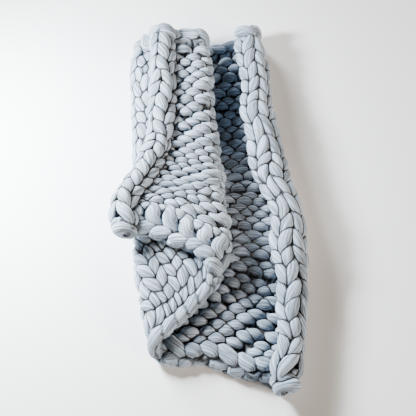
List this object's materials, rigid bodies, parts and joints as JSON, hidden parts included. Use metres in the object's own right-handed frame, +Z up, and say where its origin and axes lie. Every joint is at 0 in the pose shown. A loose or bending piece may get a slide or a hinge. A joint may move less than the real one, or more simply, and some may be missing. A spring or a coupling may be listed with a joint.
{
  "type": "folded chunky knit blanket",
  "caption": "Chunky knit throw of very thick wool roving, folded in three with rolled side edges and a zigzag hem.",
  "frame": {"origin": "centre of the throw's box, on the floor under it", "axes": "+Z up; +Y along the columns of stitches, from the hem to the far end; +X across the throw, towards the side whose edge rolls up from the bottom layer"},
  "size_m": [0.555, 1.1617, 0.1807],
  "materials": {
    "wool_roving": "soft matt wool roving"
  },
  "bodies": {
    "root": {"blanket": "wool_roving"}
  },
  "joints": []
}
